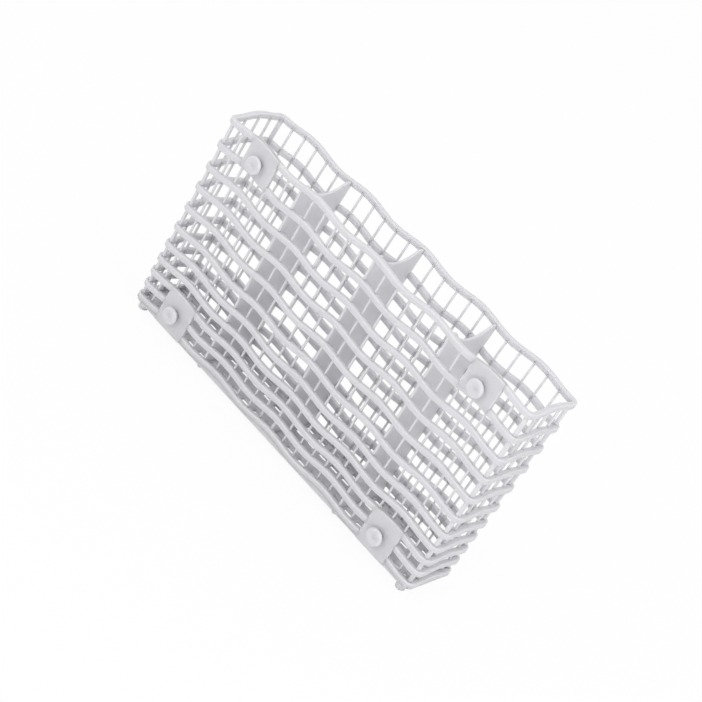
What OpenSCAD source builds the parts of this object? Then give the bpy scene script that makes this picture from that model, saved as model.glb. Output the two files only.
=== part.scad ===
// Dishwasher cutlery basket, moulded in one piece: rib rings that wave up and down round
// all four walls, thin upright bars behind them, three plain dividers with a hollow top
// edge, a slotted floor on a straight skirt, and four hanging studs on smooth plates.
// X runs along the length, the stud wall faces -Y, Z is up, the feet stand on Z = 0.

/* [Basket] */
// Length over the rim
basket_length = 242.4; // [200:0.2:300]
// Depth over the rim
basket_depth = 46.8; // [40:0.2:70]
// Height from the feet to the top of the rim at the corners
basket_height = 133.7; // [110:0.1:180]
// How far each end leans in from the rim to the floor
end_taper = 1.2; // [0:0.1:5]
// How far each long wall leans in from the rim to the floor
wall_taper = 2.6; // [0:0.1:5]
// Radius of the upright corners
corner_radius = 5; // [2:0.5:8]
// Compartments side by side
compartments = 4; // [2:1:6]

/* [Waves] */
// Waves along each long wall
waves = 5; // [1:1:7]
// Waves along each end wall
end_waves = 1; // [1:1:2]
// How far the rim rises from trough to crest
rim_lift = 2.4; // [0:0.1:3]
// How far the lowest rib rises from trough to crest
floor_lift = 1.9; // [0:0.1:2.5]

/* [Lattice] */
// Height of a rib ring
rib_height = 3.5; // [3:0.1:4.5]
// Thickness of a rib ring, outside to inside
rib_thickness = 3; // [2.6:0.1:3.6]
// How far the ribs stand out from the bars of the long walls
rib_proud = 1.7; // [0.8:0.1:2.2]
// How far the ribs stand out from the bars of the end walls
end_rib_proud = 2.2; // [0.8:0.1:2.3]
// Width of an upright bar
bar_width = 1.1; // [0.8:0.1:2]
// Depth of an upright bar, outside to inside
bar_depth = 1.4; // [1:0.1:2.4]
// Width of a corner post
post_width = 2.2; // [1.5:0.1:3.5]
// Openings along one compartment
cells_per_compartment = 6; // [3:1:8]
// Openings across an end wall
end_cells = 4; // [2:1:5]

/* [Dividers] */
// Thickness of a divider
divider_thickness = 1.4; // [1:0.1:3]
// Depth of the dividers' hollow top edge below the rim, at the middle
divider_dip = 8; // [5:0.5:16]
// Depth of the dividers' top edge below the rim, at the walls
divider_shoulder = 1; // [0.5:0.1:3]
// Width of the hollow in the dividers' top edge
hollow_width = 33; // [20:1:36]

/* [Floor] */
// Thickness of the floor
floor_thickness = 2.2; // [1.5:0.1:3]
// Height of the straight skirt under the lowest rib, at the corners
skirt_height = 0.8; // [0.4:0.1:4]
// Thickness of the skirt
skirt_thickness = 2; // [1.5:0.1:3]
// How far the skirt is set back from the long walls
skirt_inset = 0.2; // [0.1:0.1:1]
// How far the skirt is set back from the end walls
skirt_end_inset = 0.5; // [0.1:0.1:1]
// Size of a floor opening along the length
slot_length = 6.4; // [3:0.2:8]
// Size of a floor opening across the depth
slot_width = 4.2; // [3:0.2:8]
// Floor openings along one compartment
slots_per_compartment = 6; // [3:1:6]
// Rows of floor openings
slot_rows = 4; // [2:1:4]
// Height of the corner feet
foot_height = 4.5; // [1:0.5:6]
// Diameter of the corner feet
foot_diameter = 6; // [4:0.5:8]
// How far the feet stand back from the skirt's ends
foot_end_inset = 3.1; // [0:0.1:5]
// How far the feet stand back from the skirt's long sides
foot_side_inset = 1.7; // [0:0.1:3]
// Height of the small nubs below the skirt under the outer dividers
nub_height = 1; // [0.5:0.1:1]
// Diameter of the small nubs
nub_diameter = 3; // [2:0.5:5]

/* [Hanging studs] */
// Distance of the stud plates' centres from the middle of the basket
stud_reach = 89; // [80:0.5:95]
// Width of a stud plate
plate_width = 22; // [18:0.5:26]
// Thickness of a stud plate
plate_thickness = 2.4; // [2:0.1:3]
// Depth of the upper studs below the rim at the corners
upper_stud_drop = 9.2; // [8:0.2:14]
// Height of the lower studs above the skirt's lower edge
lower_stud_rise = 12; // [9:0.2:15]
// Diameter of a stud's head
head_diameter = 10.4; // [9:0.2:16]
// Thickness of a stud's head
head_thickness = 2.2; // [2:0.1:4]
// Diameter of a stud's stem
stem_diameter = 5.5; // [4:0.5:8]
// Clear gap between the plate and the head
stud_gap = 3.3; // [2:0.1:8]
// Diameter of the shallow hollow in the middle of a head
dimple_diameter = 3; // [2:0.2:5]
// Depth of that hollow
dimple_depth = 0.3; // [0.2:0.1:1]

/* [Hidden] */
overrun = 0.01;
// Tops of the rib rings below the rim, as shares of the wall height
rib_level_shares = [0, 0.129, 0.245, 0.355, 0.467, 0.577, 0.673, 0.753, 0.826, 0.895];
// Rise of the waves on the end walls, as a share of the long walls' waves
end_lift_share = 0.85;
wall_height = basket_height - foot_height;
lowest_level = wall_height - skirt_height - rib_height;
levels = [for (share = rib_level_shares) share * wall_height, lowest_level];
steps_per_wave = 8;
corner_facets = 48;
round_facets = 64;
arc_facets = 180;
lean_steps = 4;
// The stud plates stand out this far from the ribs
plate_proud = 0.2;
// The studs reach out on one side only, so the walls move back by half of that reach
wall_shift = (plate_proud + stud_gap + head_thickness) / 2;
columns = compartments * cells_per_compartment;
pitch = (basket_length - 2 * end_rib_proud - bar_width) / columns;
end_pitch = (basket_depth - 2 * rib_proud - bar_width) / end_cells;
skirt_half_length = half_length(wall_height) - skirt_end_inset;
skirt_half_depth = half_depth(wall_height) - skirt_inset;
floor_level = foot_height + skirt_height;
skirt_top = floor_level + (floor_lift + rib_height) / 2;
upper_plate_foot = levels[1] + rib_height;
lower_plate_top = levels[len(levels) - 3];
hollow_sag = divider_dip - divider_shoulder;
hollow_radius = (pow(hollow_width / 2, 2) + pow(hollow_sag, 2)) / (2 * hollow_sag);

function z_at(drop) = basket_height - drop;
// Both taper by a square law, from the rim's top at drop 0 to the skirt's lower edge
function half_length(drop) = basket_length / 2 - end_taper * pow(drop / wall_height, 2);
function half_depth(drop) = basket_depth / 2 - wall_taper * (1 - pow(1 - drop / wall_height, 2));
// Half the straight run of a long wall, or of an end wall, between the corner arcs
function run(drop) = half_length(drop) - corner_radius;
function end_run(drop) = half_depth(drop) - corner_radius;
// Rise of a rib from trough to crest
function lift_at(drop) = rim_lift + (floor_lift - rim_lift) * drop / wall_height;
// A cosine wave with troughs at both ends of the reach: 0 in a trough, 1 on a crest
function swell(place, reach, count) =
    abs(place) >= reach ? 0 : (1 - cos(180 * count * (place / reach + 1))) / 2;
// Height of a rib's top edge along a long wall, and along an end wall
function crest(x, drop) = z_at(drop) + lift_at(drop) * swell(x, run(drop), waves);
function end_crest(y, drop) =
    z_at(drop) + end_lift_share * lift_at(drop) * swell(y, end_run(drop), end_waves);
// Points of a waving edge from one end of the straight run to the other
function edge(drop) = let (a = run(drop), steps = waves * steps_per_wave)
    [for (i = [0 : steps]) let (x = a * (2 * i / steps - 1)) [x, crest(x, drop)]];
function end_edge(drop) = let (b = end_run(drop), steps = end_waves * steps_per_wave)
    [for (i = [0 : steps]) let (y = b * (2 * i / steps - 1)) [y, end_crest(y, drop)]];
// A band that hangs below a waving edge by the given height
function band(points, height) =
    concat(points, [for (i = [len(points) - 1 : -1 : 0]) points[i] - [0, height]]);
// Drops at which a leaning piece bends, from one drop to another
function drops(from, to) = [for (i = [0 : lean_steps]) from + (to - from) * i / lean_steps];
// Section of a leaning slab between two runs of places, one for each drop
function slab(outer, inner, at) = concat(
    [for (i = [0 : lean_steps]) [outer[i], z_at(at[i])]],
    [for (i = [lean_steps : -1 : 0]) [inner[i], z_at(at[i])]]);

// A slab across the length at x, seen from the end as the given profile
module across(x, width) {
    translate([x - width / 2, 0, 0])
        rotate([90, 0, 90])
            linear_extrude(height = width) children();
}

// A slab along the length at y, seen from the front as the given profile
module along(y, width) {
    translate([0, y + width / 2, 0])
        rotate([90, 0, 0])
            linear_extrude(height = width) children();
}

// One ring round the basket: four waving bands and four corner arcs at trough height
module rib_ring(drop) {
    for (side = [-1, 1]) {
        along(side * (half_depth(drop) - rib_thickness / 2), rib_thickness)
            polygon(band(edge(drop), rib_height));
        across(side * (half_length(drop) - rib_thickness / 2), rib_thickness)
            polygon(band(end_edge(drop), rib_height));
    }
    for (quarter = [[1, 1, 0], [-1, 1, 90], [-1, -1, 180], [1, -1, 270]])
        translate([quarter[0] * run(drop), quarter[1] * end_run(drop), z_at(drop) - rib_height])
            rotate([0, 0, quarter[2]])
                rotate_extrude(angle = 90, $fn = corner_facets)
                    translate([max(corner_radius - rib_thickness, 0), 0])
                        square([min(corner_radius, rib_thickness), rib_height]);
}

// Straight bars behind the ribs, from inside the rim to inside the lowest rib
module long_wall_bars(x) {
    at = drops(z_at(crest(x, 0)) + rib_height / 2,
        z_at(crest(x, lowest_level)) + rib_height / 2);
    across(x, bar_width)
        for (side = [-1, 1])
            polygon(slab(
                [for (d = at) side * (half_depth(d) - rib_proud)],
                [for (d = at) side * (half_depth(d) - rib_proud - bar_depth)], at));
}

module end_wall_bars(y) {
    at = drops(z_at(end_crest(y, 0)) + rib_height / 2,
        z_at(end_crest(y, lowest_level)) + rib_height / 2);
    along(y, bar_width)
        for (side = [-1, 1])
            polygon(slab(
                [for (d = at) side * (half_length(d) - end_rib_proud)],
                [for (d = at) side * (half_length(d) - end_rib_proud - bar_depth)], at));
}

// Four posts where the leaning long walls and the leaning ends cross
module corner_posts() {
    at = drops(rib_height / 2, lowest_level + rib_height / 2);
    for (x_side = [-1, 1], y_side = [-1, 1])
        intersection() {
            along(y_side * basket_depth / 4, basket_depth / 2)
                polygon(slab(
                    [for (d = at) x_side * (half_length(d) - end_rib_proud)],
                    [for (d = at) x_side * (half_length(d) - end_rib_proud - post_width)],
                    at));
            across(x_side * basket_length / 4, basket_length / 2)
                polygon(slab(
                    [for (d = at) y_side * (half_depth(d) - rib_proud)],
                    [for (d = at) y_side * (half_depth(d) - rib_proud - post_width)], at));
        }
}

// A flat wall between two compartments, with an arc cut out of its top edge
module divider(x) {
    rim_drop = z_at(crest(x, 0));
    at = drops(rim_drop + divider_shoulder, z_at(floor_level));
    across(x, divider_thickness)
        difference() {
            polygon(slab(
                [for (d = at) rib_proud - half_depth(d)],
                [for (d = at) half_depth(d) - rib_proud], at));
            translate([0, z_at(rim_drop + divider_dip) + hollow_radius])
                circle(r = hollow_radius, $fn = arc_facets);
        }
}

module floor_grid() {
    slots = compartments * slots_per_compartment;
    slot_pitch = cells_per_compartment * pitch / slots_per_compartment;
    row_pitch = 2 * (skirt_half_depth - skirt_thickness) / slot_rows;
    translate([0, 0, floor_level])
        linear_extrude(height = floor_thickness)
            difference() {
                square([2 * skirt_half_length - skirt_thickness,
                    2 * skirt_half_depth - skirt_thickness], center = true);
                for (i = [0 : slots - 1], j = [0 : slot_rows - 1])
                    translate([(i + 1 / 2 - slots / 2) * slot_pitch,
                            (j + 1 / 2 - slot_rows / 2) * row_pitch])
                        square([slot_length, slot_width], center = true);
            }
}

module round_box(half_x, half_y, radius) {
    for (x_side = [-1, 1], y_side = [-1, 1])
        translate([x_side * (half_x - radius), y_side * (half_y - radius)])
            circle(r = radius, $fn = round_facets);
    square([2 * half_x, 2 * (half_y - radius)], center = true);
    square([2 * (half_x - radius), 2 * half_y], center = true);
}

// A straight band that carries the floor and reaches up behind the lowest rib's crests
module skirt() {
    translate([0, 0, foot_height])
        linear_extrude(height = skirt_top - foot_height)
            difference() {
                round_box(skirt_half_length, skirt_half_depth, corner_radius);
                square([2 * (skirt_half_length - skirt_thickness),
                    2 * (skirt_half_depth - skirt_thickness)], center = true);
            }
}

module feet() {
    for (x_side = [-1, 1], y_side = [-1, 1]) {
        translate([x_side * (skirt_half_length - foot_end_inset - foot_diameter / 2),
                y_side * (skirt_half_depth - foot_side_inset - foot_diameter / 2), 0])
            cylinder(d = foot_diameter, h = floor_level + floor_thickness / 2,
                $fn = round_facets);
        if (compartments > 2)
            translate([x_side * (compartments / 2 - 1) * cells_per_compartment * pitch,
                    y_side * (skirt_half_depth - nub_diameter / 2), foot_height - nub_height])
                cylinder(d = nub_diameter, h = nub_height + skirt_height + floor_thickness / 2,
                    $fn = round_facets);
    }
}

// A smooth plate that leans with the wall, between two edges seen from the front
module stud_plate(from, to, outline) {
    at = drops(from - rim_lift - rib_height, to);
    intersection() {
        across(0, basket_length)
            polygon(slab(
                [for (d = at) -half_depth(d) - plate_proud],
                [for (d = at) -half_depth(d) - plate_proud + plate_thickness], at));
        along(-basket_depth / 2, basket_depth / 2)
            polygon(outline);
    }
}

// Places across a plate at which its waving edges bend
function plate_places(x) = [for (i = [0 : steps_per_wave])
    x + plate_width * (i / steps_per_wave - 1 / 2)];

// A stem with a round-edged, dimpled head, standing out from the wall towards -Y
module stud(x, drop) {
    foot = -half_depth(drop) - plate_proud + plate_thickness / 2;
    reach = plate_thickness / 2 + stud_gap + head_thickness;
    edge_radius = head_thickness / 2;
    translate([x, foot, z_at(drop)])
        rotate([90, 0, 0])
            difference() {
                union() {
                    cylinder(d = stem_diameter, h = reach - edge_radius, $fn = round_facets);
                    translate([0, 0, reach - edge_radius])
                        stud_head(edge_radius);
                }
                translate([0, 0, reach - dimple_depth])
                    cylinder(d = dimple_diameter, h = dimple_depth + overrun,
                        $fn = round_facets);
            }
}

module stud_head(edge_radius) {
    rotate_extrude($fn = round_facets) {
        translate([0, -edge_radius])
            square([head_diameter / 2 - edge_radius, head_thickness]);
        intersection() {
            translate([head_diameter / 2 - edge_radius, 0])
                circle(r = edge_radius, $fn = round_facets);
            translate([0, -edge_radius])
                square([head_diameter / 2, head_thickness]);
        }
    }
}

// The upper plates span the rim and the second rib, the lower ones run down to the skirt
module stud_plates_and_studs() {
    for (side = [-1, 1]) {
        places = plate_places(side * stud_reach);
        stud_plate(0, upper_plate_foot, concat(
            [for (x = places) [x, crest(x, 0)]],
            [for (i = [steps_per_wave : -1 : 0])
                [places[i], crest(places[i], levels[1]) - rib_height]]));
        stud(side * stud_reach, upper_stud_drop);
        stud_plate(lower_plate_top, wall_height, concat(
            [for (x = places) [x, crest(x, lower_plate_top)]],
            [[places[steps_per_wave], foot_height], [places[0], foot_height]]));
        stud(side * stud_reach, wall_height - lower_stud_rise);
    }
}

module basket() {
    color([0.85, 0.85, 0.88]) translate([0, wall_shift, 0]) union() {
        for (drop = levels) rib_ring(drop);
        for (i = [1 : columns - 1])
            if (i % cells_per_compartment != 0) long_wall_bars((i - columns / 2) * pitch);
        for (i = [1 : end_cells - 1]) end_wall_bars((i - end_cells / 2) * end_pitch);
        corner_posts();
        for (i = [1 : compartments - 1])
            divider((i - compartments / 2) * cells_per_compartment * pitch);
        floor_grid();
        skirt();
        feet();
        stud_plates_and_studs();
    }
}

basket();
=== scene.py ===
import math

import bpy
from mathutils import Matrix, Vector


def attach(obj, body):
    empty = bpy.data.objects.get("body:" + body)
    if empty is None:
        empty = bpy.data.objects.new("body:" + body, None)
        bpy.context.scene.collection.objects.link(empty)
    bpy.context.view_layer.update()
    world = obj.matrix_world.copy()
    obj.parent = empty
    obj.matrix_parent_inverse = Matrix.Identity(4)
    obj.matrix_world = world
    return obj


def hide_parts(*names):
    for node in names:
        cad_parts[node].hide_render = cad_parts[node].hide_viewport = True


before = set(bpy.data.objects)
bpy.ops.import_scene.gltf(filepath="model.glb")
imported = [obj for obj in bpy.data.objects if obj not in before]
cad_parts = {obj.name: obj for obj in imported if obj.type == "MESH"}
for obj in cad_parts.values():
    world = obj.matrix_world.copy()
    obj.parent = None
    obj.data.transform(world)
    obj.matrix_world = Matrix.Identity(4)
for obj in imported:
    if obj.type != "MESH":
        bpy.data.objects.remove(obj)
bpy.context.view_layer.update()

scene = bpy.context.scene

# Sizes in metres, the same as in the part's source
MM = 0.001

# Basket
LENGTH, DEPTH, HEIGHT = 242.4 * MM, 46.8 * MM, 133.7 * MM
END_TAPER, WALL_TAPER, CORNER_RADIUS = 1.2 * MM, 2.6 * MM, 5 * MM
COMPARTMENTS, CELLS, END_CELLS = 4, 6, 4

# Waves of the ribs
WAVES, END_WAVES, END_LIFT_SHARE = 5, 1, 0.85
RIM_LIFT, FLOOR_LIFT = 2.4 * MM, 1.9 * MM

# Lattice
RIB_HEIGHT, RIB_THICKNESS = 3.5 * MM, 3 * MM
RIB_PROUD, END_RIB_PROUD = 1.7 * MM, 2.2 * MM
RIB_LEVEL_SHARES = (0, 0.129, 0.245, 0.355, 0.467, 0.577, 0.673, 0.753, 0.826, 0.895)
BAR_WIDTH, BAR_DEPTH, POST_WIDTH = 1.1 * MM, 1.4 * MM, 2.2 * MM

# Dividers
DIVIDER_THICKNESS, HOLLOW_WIDTH = 1.4 * MM, 33 * MM
DIVIDER_DIP, DIVIDER_SHOULDER = 8 * MM, 1 * MM

# Floor and skirt
FLOOR_THICKNESS = 2.2 * MM
SLOT_LENGTH, SLOT_WIDTH = 6.4 * MM, 4.2 * MM
SLOTS_PER_COMPARTMENT, SLOT_ROWS = 6, 4
SKIRT_HEIGHT, SKIRT_THICKNESS = 0.8 * MM, 2 * MM
SKIRT_INSET, SKIRT_END_INSET = 0.2 * MM, 0.5 * MM

# Feet and nubs
FOOT_HEIGHT, FOOT_DIAMETER = 4.5 * MM, 6 * MM
FOOT_END_INSET, FOOT_SIDE_INSET = 3.1 * MM, 1.7 * MM
NUB_HEIGHT, NUB_DIAMETER = 1 * MM, 3 * MM

# Plates and studs
PLATE_WIDTH, PLATE_THICKNESS, PLATE_PROUD = 22 * MM, 2.4 * MM, 0.2 * MM
STUD_REACH, UPPER_STUD_DROP, LOWER_STUD_RISE = 89 * MM, 9.2 * MM, 12 * MM
STEM_DIAMETER, STUD_GAP = 5.5 * MM, 3.3 * MM
HEAD_DIAMETER, HEAD_THICKNESS = 10.4 * MM, 2.2 * MM
DIMPLE_DIAMETER, DIMPLE_DEPTH = 3 * MM, 0.3 * MM

# What follows from the sizes
WALL = HEIGHT - FOOT_HEIGHT
LOWEST = WALL - SKIRT_HEIGHT - RIB_HEIGHT
LEVELS = [share * WALL for share in RIB_LEVEL_SHARES] + [LOWEST]
COLUMNS = COMPARTMENTS * CELLS
PITCH = (LENGTH - 2 * END_RIB_PROUD - BAR_WIDTH) / COLUMNS
END_PITCH = (DEPTH - 2 * RIB_PROUD - BAR_WIDTH) / END_CELLS
FLOOR_LEVEL = FOOT_HEIGHT + SKIRT_HEIGHT
SKIRT_TOP = FLOOR_LEVEL + (FLOOR_LIFT + RIB_HEIGHT) / 2
WALL_SHIFT = (PLATE_PROUD + STUD_GAP + HEAD_THICKNESS) / 2

# Edges that only the dressed pieces have
RIB_OUTER_RADIUS, RIB_INNER_RADIUS, BAR_RADIUS = 0.5 * MM, 0.4 * MM, 0.25 * MM
POST_OUTER_RADIUS, POST_RADIUS, SKIRT_RADIUS = 1.5 * MM, 0.3 * MM, 0.3 * MM
FOOT_RADIUS, NUB_RADIUS = 0.6 * MM, 0.5 * MM
DIMPLE_SLOPE, DIMPLE_LIP = 0.2 * MM, 0.1 * MM
PANEL_BEVEL, FLOOR_BEVEL = 0.25 * MM, 0.2 * MM
BEVEL_SEGMENTS, SHARP_ANGLE = 3, math.radians(40)

# Steps of the curves
WAVE_STEPS, END_STEPS, CORNER_STEPS = 24, 20, 6
SKIRT_STEPS, SKIRT_END_STEPS = 8, 4
RIB_EDGE_STEPS, BAR_EDGE_STEPS, POST_EDGE_STEPS, SKIRT_EDGE_STEPS = 3, 2, 4, 2
HEIGHT_STEPS, HOLLOW_STEPS, PLATE_STEPS = 16, 32, 24
PEG_STEPS, PEG_EDGE_STEPS, STUD_STEPS, HEAD_EDGE_STEPS = 40, 3, 64, 12


def z_at(drop):
    return HEIGHT - drop


def half_length(drop):
    return LENGTH / 2 - END_TAPER * (drop / WALL) ** 2


def half_depth(drop):
    return DEPTH / 2 - WALL_TAPER * (1 - (1 - drop / WALL) ** 2)


def run(drop):
    return half_length(drop) - CORNER_RADIUS


def end_run(drop):
    return half_depth(drop) - CORNER_RADIUS


def lift_at(drop):
    return RIM_LIFT + (FLOOR_LIFT - RIM_LIFT) * drop / WALL


def swell(place, reach, count):
    """A cosine wave with troughs at both ends of the reach: 0 in a trough, 1 on a crest."""
    if abs(place) >= reach:
        return 0.0
    return (1 - math.cos(math.pi * count * (place / reach + 1))) / 2


def lift(x, drop):
    return lift_at(drop) * swell(x, run(drop), WAVES)


def end_lift(y, drop):
    return END_LIFT_SHARE * lift_at(drop) * swell(y, end_run(drop), END_WAVES)


SKIRT_HALF_LENGTH = half_length(WALL) - SKIRT_END_INSET
SKIRT_HALF_DEPTH = half_depth(WALL) - SKIRT_INSET


# Mesh helpers
def make(name, verts, faces, smooth=True):
    """An object from points that are placed about the middle of the basket's own depth."""
    mesh = bpy.data.meshes.new(name)
    mesh.from_pydata([(x, y + WALL_SHIFT, z) for x, y, z in verts], [], faces)
    mesh.validate()
    mesh.update()
    obj = bpy.data.objects.new(name, mesh)
    scene.collection.objects.link(obj)
    if smooth:
        mesh.shade_smooth()
    return obj


def tube(sections, closed):
    """Quads between successive rings of points, with caps if the run is open."""
    verts, faces = [], []
    count, size = len(sections), len(sections[0])
    for ring in sections:
        verts.extend(ring)
    for i in range(count if closed else count - 1):
        a, b = i * size, ((i + 1) % count) * size
        for j in range(size):
            k = (j + 1) % size
            faces.append((a + j, a + k, b + k, b + j))
    if not closed:
        faces.append(tuple(range(size - 1, -1, -1)))
        faces.append(tuple(range((count - 1) * size, count * size)))
    return verts, faces


def join(parts):
    """One list of points and one of faces from those of several parts."""
    verts, faces = [], []
    for v, f in parts:
        base = len(verts)
        verts.extend(v)
        faces.extend(tuple(i + base for i in face) for face in f)
    return verts, faces


def prism(outline, place, width, point):
    """A slab between two copies of an outline; point(a, b, offset) gives its 3D points."""
    n = len(outline)
    verts = [point(a, b, place - width / 2) for a, b in outline]
    verts += [point(a, b, place + width / 2) for a, b in outline]
    faces = [tuple(range(n)), tuple(range(2 * n - 1, n - 1, -1))]
    faces += [(i, i + n, (i + 1) % n + n, (i + 1) % n) for i in range(n)]
    return verts, faces


def rounded_section(width, height, outer, inner, steps, edge=None):
    """Points (inward, up) of a section with round corners; edge is the first corner's radius."""
    points = []
    edge = outer if edge is None else edge
    for cx, cy, r, start in (
        (outer, height - outer, outer, 90),
        (edge, edge, edge, 180),
        (width - inner, inner, inner, 270),
        (width - inner, height - inner, inner, 0),
    ):
        for i in range(steps + 1):
            a = math.radians(start + 90 * i / steps)
            points.append((cx + r * math.cos(a), cy + r * math.sin(a)))
    return points


def round_path(a, b, radius, long_steps, end_steps, rise=None, end_rise=None):
    """Closed path round a box with round corners: x, y, height, inward direction."""
    points = []
    for side, start in ((-1, 270), (1, 90)):
        for i in range(long_steps + 1):
            x = a * (1 - 2 * i / long_steps) * side
            points.append((x, side * (b + radius), rise(x) if rise else 0, 0, -side))
        for i in range(1, CORNER_STEPS):
            angle = math.radians(start + 90 * i / CORNER_STEPS)
            c, s = math.cos(angle), math.sin(angle)
            points.append((-side * a + radius * c, side * b + radius * s, 0, -c, -s))
        for i in range(end_steps + 1):
            y = b * (1 - 2 * i / end_steps) * side
            points.append((-side * (a + radius), y, end_rise(y) if end_rise else 0, side, 0))
        for i in range(1, CORNER_STEPS):
            angle = math.radians(start + 90 + 90 * i / CORNER_STEPS)
            c, s = math.cos(angle), math.sin(angle)
            points.append((-side * a + radius * c, -side * b + radius * s, 0, -c, -s))
    return points


def ring(path, section, base):
    """The section swept round the path, its lower side at base plus the path's own rise."""
    return tube([[(x + nx * d, y + ny * d, base + rise + h) for d, h in section]
                 for x, y, rise, nx, ny in path], True)


def lathe(profile, steps, point):
    """Turned piece: profile is (radius, along); point(u, v, along) gives its 3D points."""
    rings = []
    for i in range(steps):
        angle = 2 * math.pi * i / steps
        rings.append([point(r * math.cos(angle), r * math.sin(angle), h) for r, h in profile])
    verts, faces = [], []
    size = len(profile)
    for points in rings:
        verts.extend(points)
    for i in range(steps):
        a, b = i * size, ((i + 1) % steps) * size
        for j in range(size - 1):
            faces.append((a + j, a + j + 1, b + j + 1, b + j))
    faces.append(tuple(i * size for i in range(steps)))
    faces.append(tuple((steps - 1 - i) * size + size - 1 for i in range(steps)))
    return verts, faces


def dress(obj, material, width=None):
    """Gives the piece its material, a bevel of that width, and its place on the body."""
    obj.data.materials.append(material)
    if width:
        bevel = obj.modifiers.new("edges", "BEVEL")
        bevel.width = width
        bevel.segments = BEVEL_SEGMENTS
        bevel.limit_method = "ANGLE"
        bevel.angle_limit = SHARP_ANGLE
    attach(obj, "root")
    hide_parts("basket")


# Materials
PLASTIC_DARKER, PLASTIC_LIGHTER = (0.610, 0.603, 0.630, 1), (0.640, 0.634, 0.659, 1)
PLASTIC_ROUGHNESS = (0.36, 0.48)
TONE_NOISE = {"Scale": 28.0, "Detail": 7.0, "Roughness": 0.62}
GRAIN_NOISE = {"Scale": 2200.0, "Detail": 2.0}
GRAIN_BUMP = {"Strength": 0.12, "Distance": 0.00005}
PLASTIC_BODY = {"IOR": 1.49, "Subsurface Weight": 0.8, "Subsurface Radius": (1, 1, 1),
                "Subsurface Scale": 0.005}
WHITE = (1, 1, 1, 1)
FLOOR_COLOR, FLOOR_GLOW_SHARE, FLOOR_REACH = (0.9, 0.9, 0.9, 1), 0.94, 4
WORLD_LIGHT = 0.84


def set_inputs(node, values):
    for name, value in values.items():
        node.inputs[name].default_value = value


def plastic():
    """Pale cool grey moulded plastic: faintly uneven in tone, fine grain, slightly translucent."""
    m = bpy.data.materials.new("basket_plastic")
    m.use_nodes = True
    nodes, links = m.node_tree.nodes, m.node_tree.links
    bsdf = nodes["Principled BSDF"]
    coord = nodes.new("ShaderNodeTexCoord")
    tone = nodes.new("ShaderNodeTexNoise")
    set_inputs(tone, TONE_NOISE)
    blend = nodes.new("ShaderNodeMix")
    blend.data_type = "RGBA"
    set_inputs(blend, {"A": PLASTIC_DARKER, "B": PLASTIC_LIGHTER})
    links.new(coord.outputs["Object"], tone.inputs["Vector"])
    links.new(tone.outputs["Fac"], blend.inputs["Factor"])
    links.new(blend.outputs["Result"], bsdf.inputs["Base Color"])
    grain = nodes.new("ShaderNodeTexNoise")
    set_inputs(grain, GRAIN_NOISE)
    bump = nodes.new("ShaderNodeBump")
    set_inputs(bump, GRAIN_BUMP)
    links.new(coord.outputs["Object"], grain.inputs["Vector"])
    links.new(grain.outputs["Fac"], bump.inputs["Height"])
    links.new(bump.outputs["Normal"], bsdf.inputs["Normal"])
    rough = nodes.new("ShaderNodeMapRange")
    set_inputs(rough, {"To Min": PLASTIC_ROUGHNESS[0], "To Max": PLASTIC_ROUGHNESS[1]})
    links.new(tone.outputs["Fac"], rough.inputs["Value"])
    links.new(rough.outputs["Result"], bsdf.inputs["Roughness"])
    set_inputs(bsdf, PLASTIC_BODY)
    return m


PLASTIC = plastic()


# Rib rings
def rib_ring(drop):
    path = round_path(run(drop), end_run(drop), CORNER_RADIUS, WAVES * WAVE_STEPS, END_STEPS,
                      lambda x: lift(x, drop), lambda y: end_lift(y, drop))
    section = rounded_section(RIB_THICKNESS, RIB_HEIGHT, RIB_OUTER_RADIUS, RIB_INNER_RADIUS,
                              RIB_EDGE_STEPS)
    return ring(path, section, z_at(drop) - RIB_HEIGHT)


dress(make("rib_rings", *join([rib_ring(drop) for drop in LEVELS])), PLASTIC)


# Upright bars of the long walls and the ends, and the corner posts
def drops(first, last):
    return [first + (last - first) * i / HEIGHT_STEPS for i in range(HEIGHT_STEPS + 1)]


def bar(outer, inward, sideways, lifts):
    """An upright bar: outer(drop) is its outer face's middle, with two unit directions."""
    section = rounded_section(BAR_DEPTH, BAR_WIDTH, BAR_RADIUS, BAR_RADIUS, BAR_EDGE_STEPS)
    first, last = RIB_HEIGHT / 2 - lifts[0], LOWEST + RIB_HEIGHT / 2 - lifts[1]
    rings = []
    for drop in drops(first, last):
        x, y = outer(drop)
        rings.append([(x + inward[0] * d + sideways[0] * (h - BAR_WIDTH / 2),
                       y + inward[1] * d + sideways[1] * (h - BAR_WIDTH / 2), z_at(drop))
                      for d, h in section])
    return tube(rings, False)


bars = []
for i in range(1, COLUMNS):
    if i % CELLS == 0:
        continue  # a divider stands there
    x = (i - COLUMNS / 2) * PITCH
    lifts = (lift(x, 0), lift(x, LOWEST))
    for side in (-1, 1):
        bars.append(bar(lambda d: (x, side * (half_depth(d) - RIB_PROUD)),
                        (0, -side), (1, 0), lifts))
for i in range(1, END_CELLS):
    y = (i - END_CELLS / 2) * END_PITCH
    lifts = (end_lift(y, 0), end_lift(y, LOWEST))
    for side in (-1, 1):
        bars.append(bar(lambda d: (side * (half_length(d) - END_RIB_PROUD), y),
                        (-side, 0), (0, 1), lifts))
dress(make("upright_bars", *join(bars)), PLASTIC)

posts = []
post_section = rounded_section(POST_WIDTH, POST_WIDTH, POST_RADIUS, POST_RADIUS,
                               POST_EDGE_STEPS, POST_OUTER_RADIUS)
for x_side in (-1, 1):
    for y_side in (-1, 1):
        posts.append(tube([[(x_side * (half_length(drop) - END_RIB_PROUD - d),
                             y_side * (half_depth(drop) - RIB_PROUD - h), z_at(drop))
                            for d, h in post_section]
                           for drop in drops(RIB_HEIGHT / 2, LOWEST + RIB_HEIGHT / 2)], False))
dress(make("corner_posts", *join(posts)), PLASTIC)


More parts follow.
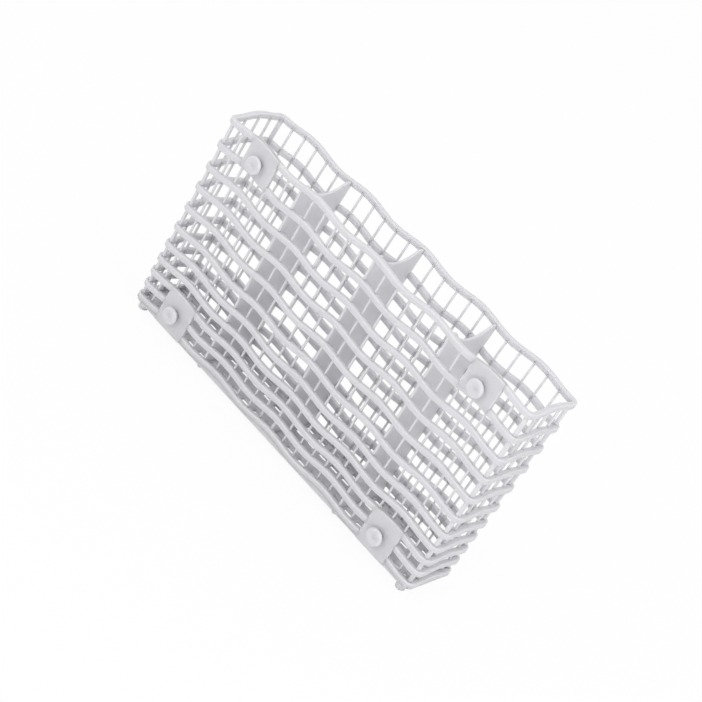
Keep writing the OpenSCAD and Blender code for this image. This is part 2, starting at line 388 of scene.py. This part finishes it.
# Dividers with a hollow top edge
def divider(x):
    """A closed plate between the long walls; its top edge is an arc between two shoulders."""
    rim = z_at(0) + lift(x, 0)
    sag = DIVIDER_DIP - DIVIDER_SHOULDER
    chord = HOLLOW_WIDTH / 2
    radius = (chord ** 2 + sag ** 2) / (2 * sag)
    centre = rim - DIVIDER_DIP + radius
    places = [chord * (2 * i / HOLLOW_STEPS - 1) for i in range(HOLLOW_STEPS + 1)]
    outline = [(y, centre - math.sqrt(radius ** 2 - y ** 2)) for y in places]
    sides = drops(z_at(rim) + DIVIDER_SHOULDER, z_at(FLOOR_LEVEL + FLOOR_THICKNESS / 2))
    outline += [(half_depth(drop) - RIB_PROUD, z_at(drop)) for drop in sides]
    outline += [(RIB_PROUD - half_depth(drop), z_at(drop)) for drop in reversed(sides)]
    return prism(outline, x, DIVIDER_THICKNESS, lambda a, b, offset: (offset, a, b))


dress(make("dividers", *join([divider((i - COMPARTMENTS / 2) * CELLS * PITCH)
                             for i in range(1, COMPARTMENTS)]), smooth=False),
      PLASTIC, PANEL_BEVEL)


# Slotted floor, made of the cells of a grid that are not slots
def slotted_floor():
    half_x = SKIRT_HALF_LENGTH - SKIRT_THICKNESS / 2
    half_y = SKIRT_HALF_DEPTH - SKIRT_THICKNESS / 2
    row_pitch = 2 * (SKIRT_HALF_DEPTH - SKIRT_THICKNESS) / SLOT_ROWS
    xs, ys = [-half_x], [-half_y]
    slots = COMPARTMENTS * SLOTS_PER_COMPARTMENT
    for i in range(slots):
        middle = (i + 0.5 - slots / 2) * CELLS * PITCH / SLOTS_PER_COMPARTMENT
        xs += [middle - SLOT_LENGTH / 2, middle + SLOT_LENGTH / 2]
    for j in range(SLOT_ROWS):
        middle = (j + 0.5 - SLOT_ROWS / 2) * row_pitch
        ys += [middle - SLOT_WIDTH / 2, middle + SLOT_WIDTH / 2]
    xs.append(half_x)
    ys.append(half_y)
    columns, rows = len(xs) - 1, len(ys) - 1

    def solid(i, j):
        inside = 0 <= i < columns and 0 <= j < rows
        return inside and not (i % 2 == 1 and j % 2 == 1)

    verts = [(x, y, z) for z in (FLOOR_LEVEL, FLOOR_LEVEL + FLOOR_THICKNESS)
             for y in ys for x in xs]
    layer = len(xs) * len(ys)

    def at(i, j, upper):
        return j * len(xs) + i + upper * layer

    faces = []
    for i in range(columns):
        for j in range(rows):
            if not solid(i, j):
                continue
            corners = ((i, j), (i + 1, j), (i + 1, j + 1), (i, j + 1))
            faces.append(tuple(at(a, b, 1) for a, b in corners))
            faces.append(tuple(at(a, b, 0) for a, b in reversed(corners)))
            neighbours = ((i, j - 1), (i + 1, j), (i, j + 1), (i - 1, j))
            for k, (a, b) in enumerate(neighbours):
                if not solid(a, b):
                    p, q = corners[k], corners[(k + 1) % 4]
                    faces.append((at(*p, 0), at(*q, 0), at(*q, 1), at(*p, 1)))
    return verts, faces


dress(make("slotted_floor", *slotted_floor(), smooth=False), PLASTIC, FLOOR_BEVEL)

# Skirt, feet and nubs
skirt_path = round_path(SKIRT_HALF_LENGTH - CORNER_RADIUS, SKIRT_HALF_DEPTH - CORNER_RADIUS,
                        CORNER_RADIUS, SKIRT_STEPS, SKIRT_END_STEPS)
skirt_section = rounded_section(SKIRT_THICKNESS, SKIRT_TOP - FOOT_HEIGHT, SKIRT_RADIUS,
                                SKIRT_RADIUS, SKIRT_EDGE_STEPS)
dress(make("skirt", *ring(skirt_path, skirt_section, FOOT_HEIGHT)), PLASTIC)


def peg(x, y, diameter, low, edge):
    """An upright round peg with a rounded lower edge, up into the floor."""
    profile = [(diameter / 2 - edge, low)]
    for i in range(1, PEG_EDGE_STEPS + 1):
        a = math.radians(90 / PEG_EDGE_STEPS * i)
        profile.append((diameter / 2 - edge + edge * math.sin(a),
                        low + edge - edge * math.cos(a)))
    profile.append((diameter / 2, FLOOR_LEVEL + FLOOR_THICKNESS / 2))
    return lathe(profile, PEG_STEPS, lambda u, v, along: (x + u, y + v, along))


pegs = []
for x_side in (-1, 1):
    for y_side in (-1, 1):
        pegs.append(peg(x_side * (SKIRT_HALF_LENGTH - FOOT_END_INSET - FOOT_DIAMETER / 2),
                        y_side * (SKIRT_HALF_DEPTH - FOOT_SIDE_INSET - FOOT_DIAMETER / 2),
                        FOOT_DIAMETER, 0, FOOT_RADIUS))
        pegs.append(peg(x_side * (COMPARTMENTS / 2 - 1) * CELLS * PITCH,
                        y_side * (SKIRT_HALF_DEPTH - NUB_DIAMETER / 2),
                        NUB_DIAMETER, FOOT_HEIGHT - NUB_HEIGHT, NUB_RADIUS))
dress(make("feet_and_nubs", *join(pegs)), PLASTIC)


# Smooth plates with the hanging studs
def plate(x, top_drop, bottom):
    """A leaning plate from a rib's waving top edge down to the height that bottom(x) gives."""
    places = [x + PLATE_WIDTH * (i / PLATE_STEPS - 0.5) for i in range(PLATE_STEPS + 1)]
    outline = [(px, z_at(top_drop) + lift(px, top_drop)) for px in places]
    outline += [(px, bottom(px)) for px in reversed(places)]

    def point(a, b, offset):
        return a, -half_depth(z_at(b)) - PLATE_PROUD + PLATE_THICKNESS / 2 + offset, b

    return prism(outline, 0, PLATE_THICKNESS, point)


def stud(x, drop):
    """A stem out of the middle of the plate, and a round-edged head with a shallow hollow."""
    edge = HEAD_THICKNESS / 2
    reach = PLATE_THICKNESS / 2 + STUD_GAP + HEAD_THICKNESS
    base = -half_depth(drop) - PLATE_PROUD + PLATE_THICKNESS / 2
    profile = [(STEM_DIAMETER / 2, 0), (STEM_DIAMETER / 2, reach - HEAD_THICKNESS)]
    for i in range(HEAD_EDGE_STEPS + 1):
        a = math.radians(180 / HEAD_EDGE_STEPS * i)
        profile.append((HEAD_DIAMETER / 2 - edge + edge * math.sin(a),
                        reach - edge - edge * math.cos(a)))
    profile.append((DIMPLE_DIAMETER / 2 + DIMPLE_SLOPE, reach))
    profile.append((DIMPLE_DIAMETER / 2, reach - DIMPLE_LIP))
    profile.append((DIMPLE_DIAMETER / 2 - DIMPLE_SLOPE, reach - DIMPLE_DEPTH))
    return lathe(profile, STUD_STEPS,
                 lambda u, v, along: (x + u, base - along, z_at(drop) + v))


plates, studs = [], []
for side in (-1, 1):
    x = side * STUD_REACH
    plates.append(plate(x, 0, lambda px: z_at(LEVELS[1]) + lift(px, LEVELS[1]) - RIB_HEIGHT))
    plates.append(plate(x, LEVELS[-3], lambda px: FOOT_HEIGHT))
    studs.append(stud(x, UPPER_STUD_DROP))
    studs.append(stud(x, WALL - LOWER_STUD_RISE))
dress(make("stud_plates", *join(plates), smooth=False), PLASTIC, PANEL_BEVEL)
dress(make("studs", *join(studs)), PLASTIC)

# Camera, fitted to the photograph: angles in degrees, then metres and a lens in millimetres
CAMERA_AZIMUTH, CAMERA_ELEVATION, CAMERA_ROLL = -26.151, 28.690, 32.662
CAMERA_DISTANCE, CAMERA_LENS = 1.04604, 99.028
CAMERA_TARGET = Vector((0.005393, 0.004494, 0.069757))
SENSOR_WIDTH, CLIP_START = 36, 0.01

az, el, roll = (math.radians(v) for v in (CAMERA_AZIMUTH, CAMERA_ELEVATION, CAMERA_ROLL))
forward = Vector((math.cos(el) * math.sin(az), math.cos(el) * math.cos(az), -math.sin(el)))
level = forward.cross(Vector((0, 0, 1))).normalized()
upright = level.cross(forward)
right = level * math.cos(roll) + upright * math.sin(roll)
up = upright * math.cos(roll) - level * math.sin(roll)
cam_data = bpy.data.cameras.new("camera")
cam_data.sensor_width = SENSOR_WIDTH
cam_data.lens = CAMERA_LENS
cam_data.clip_start = CLIP_START
camera = bpy.data.objects.new("camera", cam_data)
scene.collection.objects.link(camera)
camera.matrix_world = Matrix((right, up, -forward)).transposed().to_4x4()
camera.location = CAMERA_TARGET - forward * CAMERA_DISTANCE
scene.camera = camera

scene.view_settings.view_transform = "Standard"


# Surroundings
def seen(nodes, links):
    """1 where the camera looks at them, also by way of a glossy or a clear surface, else 0."""
    path = nodes.new("ShaderNodeLightPath")
    found = path.outputs["Is Camera Ray"]
    for other in ("Is Glossy Ray", "Is Transmission Ray"):
        either = nodes.new("ShaderNodeMath")
        either.operation = "MAXIMUM"
        links.new(found, either.inputs[0])
        links.new(path.outputs[other], either.inputs[1])
        found = either.outputs[0]
    return found


def floor_material():
    """White to the camera, with a faint share of the real shading, so that the shadow stays."""
    m = bpy.data.materials.new("white_floor")
    m.use_nodes = True
    nodes, links = m.node_tree.nodes, m.node_tree.links
    nodes.clear()
    out = nodes.new("ShaderNodeOutputMaterial")
    diffuse = nodes.new("ShaderNodeBsdfDiffuse")
    set_inputs(diffuse, {"Color": FLOOR_COLOR})
    glow = nodes.new("ShaderNodeEmission")
    set_inputs(glow, {"Color": WHITE, "Strength": 1.0})
    share = nodes.new("ShaderNodeMath")
    share.operation = "MULTIPLY"
    share.inputs[1].default_value = FLOOR_GLOW_SHARE
    mix = nodes.new("ShaderNodeMixShader")
    links.new(seen(nodes, links), share.inputs[0])
    links.new(share.outputs[0], mix.inputs["Fac"])
    links.new(diffuse.outputs["BSDF"], mix.inputs[1])
    links.new(glow.outputs["Emission"], mix.inputs[2])
    links.new(mix.outputs["Shader"], out.inputs["Surface"])
    return m


floor_mesh = bpy.data.meshes.new("floor")
floor_mesh.from_pydata([(x * FLOOR_REACH, y * FLOOR_REACH, 0)
                        for x, y in ((-1, -1), (1, -1), (1, 1), (-1, 1))], [], [(0, 1, 2, 3)])
floor_mesh.materials.append(floor_material())
stage_floor = bpy.data.objects.new("floor", floor_mesh)
scene.collection.objects.link(stage_floor)

# World: white to the camera, a soft even light on the object
world = bpy.data.worlds.new("surroundings")
scene.world = world
world.use_nodes = True
wn, wl = world.node_tree.nodes, world.node_tree.links
wn.clear()
out = wn.new("ShaderNodeOutputWorld")
mix = wn.new("ShaderNodeMixShader")
light = wn.new("ShaderNodeBackground")
set_inputs(light, {"Color": WHITE, "Strength": WORLD_LIGHT})
white = wn.new("ShaderNodeBackground")
set_inputs(white, {"Color": WHITE, "Strength": 1.0})
wl.new(seen(wn, wl), mix.inputs["Fac"])
wl.new(light.outputs["Background"], mix.inputs[1])
wl.new(white.outputs["Background"], mix.inputs[2])
wl.new(mix.outputs["Shader"], out.inputs["Surface"])


LAMP_TARGET = Vector((0, 0, 0.06))


def lamp(name, location, size, energy):
    """A round lamp that looks at the middle of the basket."""
    data = bpy.data.lights.new(name, "AREA")
    data.shape = "DISK"
    data.size = size
    data.energy = energy
    obj = bpy.data.objects.new(name, data)
    scene.collection.objects.link(obj)
    obj.location = location
    aim = LAMP_TARGET - Vector(location)
    obj.rotation_euler = aim.to_track_quat("-Z", "Y").to_euler()


lamp("key", (-0.2, -1.6, 1.0), 0.15, 4.9)
lamp("top", (1.2, -0.3, 1.5), 0.5, 4)
lamp("fill", (1.0, -1.3, 0.45), 0.4, 3.8)
